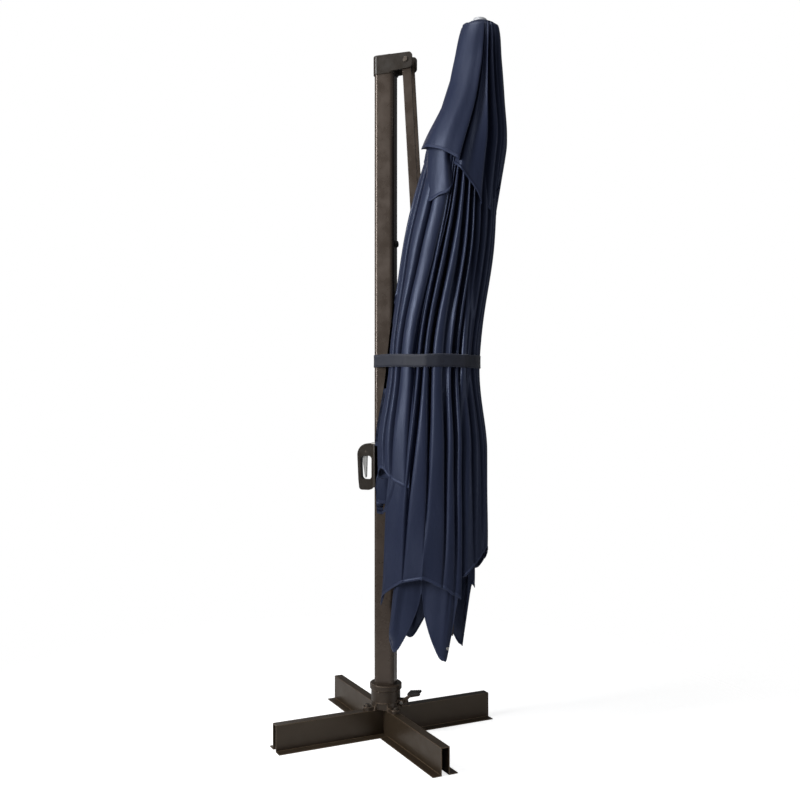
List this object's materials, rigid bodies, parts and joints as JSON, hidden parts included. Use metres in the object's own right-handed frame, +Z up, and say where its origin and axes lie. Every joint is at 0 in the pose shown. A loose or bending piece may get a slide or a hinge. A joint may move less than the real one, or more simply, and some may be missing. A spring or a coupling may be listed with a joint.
{
  "type": "patio umbrella with base",
  "caption": "Side-post patio umbrella on a cross base, folded and tied to its mast; a sliding D handle swings the boom out and spreads the square double-top canopy.",
  "frame": {"origin": "on the ground, under the axis of the mast and the middle of the cross base", "axes": "+Z up along the mast; +X from the mast to the canopy; the base arms lie at 45 degrees to X"},
  "size_m": [0.8183, 0.6866, 2.5953],
  "materials": {
    "base_bronze": "satin powder coat on pressed steel",
    "hub_bronze": "satin powder coat on a casting",
    "steel": "zinc plated",
    "rubber": "moulded, matt",
    "mast_bronze": "satin powder coat on extruded aluminium",
    "dark_plastic": "moulded, fine texture",
    "nylon": "self-coloured nylon",
    "trigger_metal": "bare, brushed",
    "cast_dark": "satin powder coat on a casting",
    "post_metal": "bare, drawn",
    "band_grey": "moulded",
    "finial_grey": "moulded, satin",
    "rib_bronze": "satin powder coat",
    "navy_cloth": "woven polyester with a soft sheen",
    "navy_webbing": "ribbed strap"
  },
  "bodies": {
    "base": {"beam_long": "base_bronze", "beam_cross": "base_bronze", "hub_casting": "hub_bronze", "clamp_bolts": "steel", "clamp_nuts": "steel", "spindle": "steel", "thrust_washer": "steel", "pedal_pin": "steel"},
    "pedal": {"pedal_arm": "hub_bronze", "pedal_pad": "rubber"},
    "mast": {"turning_collar": "hub_bronze", "mast_tube": "mast_bronze", "mast_insert": "nylon", "top_cap": "dark_plastic", "cap_pivot_bolt": "steel", "stop_knob": "rubber"},
    "slider": {"slider_sleeve": "dark_plastic", "lower_liner": "nylon", "upper_liner": "nylon", "handle_grip": "dark_plastic", "slider_pins": "steel"},
    "trigger": {"trigger_lever": "trigger_metal"},
    "boom": {"boom_tube": "mast_bronze", "boom_foot": "cast_dark", "boom_tip": "cast_dark", "strut_bracket": "cast_dark", "bracket_bolts": "steel"},
    "strut": {"strut_bars": "mast_bronze", "strut_spacer": "nylon", "strut_end_bolts": "steel"},
    "head": {"crown_hub": "cast_dark", "head_bracket": "cast_dark", "head_pins": "steel", "centre_post": "post_metal", "crown_plate": "band_grey", "finial": "finial_grey", "vent_cover": "navy_cloth", "tie_strap": "navy_webbing"},
    "runner": {"runner": "dark_plastic"},
    "rib_000": {"rib_000": "rib_bronze"},
    "stretcher_000": {"stretcher_000": "rib_bronze"},
    "rib_045": {"rib_045": "rib_bronze"},
    "stretcher_045": {"stretcher_045": "rib_bronze"},
    "rib_090": {"rib_090": "rib_bronze"},
    "stretcher_090": {"stretcher_090": "rib_bronze"},
    "rib_135": {"rib_135": "rib_bronze"},
    "stretcher_135": {"stretcher_135": "rib_bronze"},
    "rib_180": {"rib_180": "rib_bronze"},
    "stretcher_180": {"stretcher_180": "rib_bronze"},
    "rib_225": {"rib_225": "rib_bronze"},
    "stretcher_225": {"stretcher_225": "rib_bronze"},
    "rib_270": {"rib_270": "rib_bronze"},
    "stretcher_270": {"stretcher_270": "rib_bronze"},
    "rib_315": {"rib_315": "rib_bronze"},
    "stretcher_315": {"stretcher_315": "rib_bronze"},
    "canopy_front": {"canopy_front": "navy_cloth"},
    "canopy_right": {"canopy_right": "navy_cloth"},
    "canopy_left": {"canopy_left": "navy_cloth"},
    "canopy_rear_right": {"canopy_rear_right": "navy_cloth"},
    "canopy_rear_left": {"canopy_rear_left": "navy_cloth"}
  },
  "joints": [
    {"name": "mast_turn", "type": "hinge", "parent": "base", "child": "mast", "pos_m": [0, 0, 0.166], "axis": [0, 0, 1], "continuous": true},
    {"name": "pedal_press", "type": "hinge", "parent": "base", "child": "pedal", "pos_m": [0.066, 0, 0.122], "axis": [0, 1, 0], "range_deg": [0, 10], "stiffness_Nm_per_rad": 4, "springref_deg": -14.32},
    {"name": "slider_lift", "type": "slide", "parent": "mast", "child": "slider", "axis": [0, 0, 1], "range_m": [0, 0.715], "deforming": ["canopy_front", "canopy_right", "canopy_left", "canopy_rear_right", "canopy_rear_left", "vent_cover", "tie_strap"]},
    {"name": "trigger_squeeze", "type": "hinge", "parent": "slider", "child": "trigger", "pos_m": [-0.076, 0, 1.041], "axis": [0, 1, 0], "range_deg": [0, 6.5], "stiffness_Nm_per_rad": 2, "springref_deg": -8.59},
    {"name": "boom_swing", "type": "hinge", "parent": "slider", "child": "boom", "pos_m": [0.078, 0, 0.99], "axis": [0, 1, 0], "range_deg": [0, 56.99]},
    {"name": "strut_swing", "type": "hinge", "parent": "mast", "child": "strut", "pos_m": [0.086, 0, 2.472], "axis": [0, -1, 0], "range_deg": [0, 53.46]},
    {"name": "head_tilt", "type": "hinge", "parent": "boom", "child": "head", "pos_m": [0.312, 0, 2.463], "axis": [0, -1, 0], "range_deg": [0, 62.09]},
    {"name": "runner_slide", "type": "slide", "parent": "head", "child": "runner", "axis": [0.0889, 0, 0.996], "range_m": [0, 0.48467]},
    {"name": "rib_000_open", "type": "hinge", "parent": "head", "child": "rib_000", "pos_m": [0.3978, 0, 2.52556], "axis": [0, -1, 0], "range_deg": [0, 74.62]},
    {"name": "stretcher_000_fold", "type": "hinge", "parent": "rib_000", "child": "stretcher_000", "pos_m": [0.37715, 0, 2.20622], "axis": [0, 1, 0], "range_deg": [0, 149.22]},
    {"name": "rib_045_open", "type": "hinge", "parent": "head", "child": "rib_045", "pos_m": [0.38321, 0.03535, 2.52686], "axis": [0.7043, -0.7071, -0.0629], "range_deg": [0, 74.62]},
    {"name": "stretcher_045_fold", "type": "hinge", "parent": "rib_045", "child": "stretcher_045", "pos_m": [0.36028, 0.04088, 2.20773], "axis": [-0.7043, 0.7071, 0.0629], "range_deg": [0, 149.22]},
    {"name": "rib_090_open", "type": "hinge", "parent": "head", "child": "rib_090", "pos_m": [0.348, 0.05, 2.53], "axis": [0.996, 0, -0.0889], "range_deg": [0, 73.72]},
    {"name": "stretcher_090_fold", "type": "hinge", "parent": "rib_090", "child": "stretcher_090", "pos_m": [0.31958, 0.06284, 2.21152], "axis": [-0.996, 0, 0.0889], "range_deg": [0, 147.42]},
    {"name": "rib_135_open", "type": "hinge", "parent": "head", "child": "rib_135", "pos_m": [0.31278, 0.03535, 2.53314], "axis": [0.7043, 0.7071, -0.0629], "range_deg": [0, 73.72]},
    {"name": "stretcher_135_fold", "type": "hinge", "parent": "rib_135", "child": "stretcher_135", "pos_m": [0.27532, 0.04444, 2.21547], "axis": [-0.7043, -0.7071, 0.0629], "range_deg": [0, 147.42]},
    {"name": "rib_180_open", "type": "hinge", "parent": "head", "child": "rib_180", "pos_m": [0.2982, 0, 2.53444], "axis": [0, 1, 0], "range_deg": [0, 70.88]},
    {"name": "stretcher_180_fold", "type": "hinge", "parent": "rib_180", "child": "stretcher_180", "pos_m": [0.24131, 0, 2.21954], "axis": [0, -1, 0], "range_deg": [0, 141.74]},
    {"name": "rib_225_open", "type": "hinge", "parent": "head", "child": "rib_225", "pos_m": [0.31278, -0.03535, 2.53314], "axis": [-0.7043, 0.7071, 0.0629], "range_deg": [0, 73.72]},
    {"name": "stretcher_225_fold", "type": "hinge", "parent": "rib_225", "child": "stretcher_225", "pos_m": [0.27532, -0.04444, 2.21547], "axis": [0.7043, -0.7071, -0.0629], "range_deg": [0, 147.42]},
    {"name": "rib_270_open", "type": "hinge", "parent": "head", "child": "rib_270", "pos_m": [0.348, -0.05, 2.53], "axis": [-0.996, 0, 0.0889], "range_deg": [0, 73.72]},
    {"name": "stretcher_270_fold", "type": "hinge", "parent": "rib_270", "child": "stretcher_270", "pos_m": [0.31958, -0.06284, 2.21152], "axis": [0.996, 0, -0.0889], "range_deg": [0, 147.42]},
    {"name": "rib_315_open", "type": "hinge", "parent": "head", "child": "rib_315", "pos_m": [0.38321, -0.03535, 2.52686], "axis": [-0.7043, -0.7071, 0.0629], "range_deg": [0, 73.72]},
    {"name": "stretcher_315_fold", "type": "hinge", "parent": "rib_315", "child": "stretcher_315", "pos_m": [0.36384, -0.04444, 2.20757], "axis": [0.7043, 0.7071, -0.0629], "range_deg": [0, 147.42]},
    {"name": "canopy_right_spread", "type": "hinge", "parent": "rib_045", "child": "canopy_right", "pos_m": [0.37815, 0.02597, 2.57571], "axis": [0.7026, 0.6817, 0.2039], "range_deg": [0, 90.02]},
    {"name": "canopy_left_spread", "type": "hinge", "parent": "rib_225", "child": "canopy_left", "pos_m": [0.32693, -0.02543, 2.58006], "axis": [-0.651, -0.6787, 0.3399], "range_deg": [0, 90.02]},
    {"name": "canopy_front_spread", "type": "hinge", "parent": "rib_315", "child": "canopy_front", "pos_m": [0.3776, -0.02543, 2.57554], "axis": [0.7009, -0.6787, 0.2192], "range_deg": [0, 90.02]},
    {"name": "canopy_rear_right_spread", "type": "hinge", "parent": "rib_135", "child": "canopy_rear_right", "pos_m": [0.32693, 0.02543, 2.58006], "axis": [-0.651, 0.6787, 0.3399], "range_deg": [0, 45.02]},
    {"name": "canopy_rear_left_spread", "type": "hinge", "parent": "rib_225", "child": "canopy_rear_left", "pos_m": [0.32693, -0.02543, 2.58006], "axis": [0.651, 0.6787, -0.3399], "range_deg": [0, 45.02]}
  ],
  "couplings": [
    {"joint": "boom_swing", "follows": "slider_lift", "rad_per_m": 1.3907},
    {"joint": "strut_swing", "follows": "slider_lift", "rad_per_m": 1.3044},
    {"joint": "head_tilt", "follows": "slider_lift", "rad_per_m": 1.5152},
    {"joint": "runner_slide", "follows": "slider_lift", "ratio": 0.67784},
    {"joint": "rib_000_open", "follows": "slider_lift", "rad_per_m": 1.821},
    {"joint": "stretcher_000_fold", "follows": "slider_lift", "rad_per_m": 3.642},
    {"joint": "rib_045_open", "follows": "slider_lift", "rad_per_m": 1.821},
    {"joint": "stretcher_045_fold", "follows": "slider_lift", "rad_per_m": 3.642},
    {"joint": "rib_090_open", "follows": "slider_lift", "rad_per_m": 1.799},
    {"joint": "stretcher_090_fold", "follows": "slider_lift", "rad_per_m": 3.5981},
    {"joint": "rib_135_open", "follows": "slider_lift", "rad_per_m": 1.799},
    {"joint": "stretcher_135_fold", "follows": "slider_lift", "rad_per_m": 3.5981},
    {"joint": "rib_180_open", "follows": "slider_lift", "rad_per_m": 1.7297},
    {"joint": "stretcher_180_fold", "follows": "slider_lift", "rad_per_m": 3.4594},
    {"joint": "rib_225_open", "follows": "slider_lift", "rad_per_m": 1.799},
    {"joint": "stretcher_225_fold", "follows": "slider_lift", "rad_per_m": 3.5981},
    {"joint": "rib_270_open", "follows": "slider_lift", "rad_per_m": 1.799},
    {"joint": "stretcher_270_fold", "follows": "slider_lift", "rad_per_m": 3.5981},
    {"joint": "rib_315_open", "follows": "slider_lift", "rad_per_m": 1.799},
    {"joint": "stretcher_315_fold", "follows": "slider_lift", "rad_per_m": 3.5981},
    {"joint": "canopy_right_spread", "follows": "slider_lift", "rad_per_m": 2.1969},
    {"joint": "canopy_left_spread", "follows": "slider_lift", "rad_per_m": 2.1969},
    {"joint": "canopy_front_spread", "follows": "slider_lift", "rad_per_m": 2.1969},
    {"joint": "canopy_rear_right_spread", "follows": "slider_lift", "rad_per_m": 1.0985},
    {"joint": "canopy_rear_left_spread", "follows": "slider_lift", "rad_per_m": 1.0985}
  ]
}
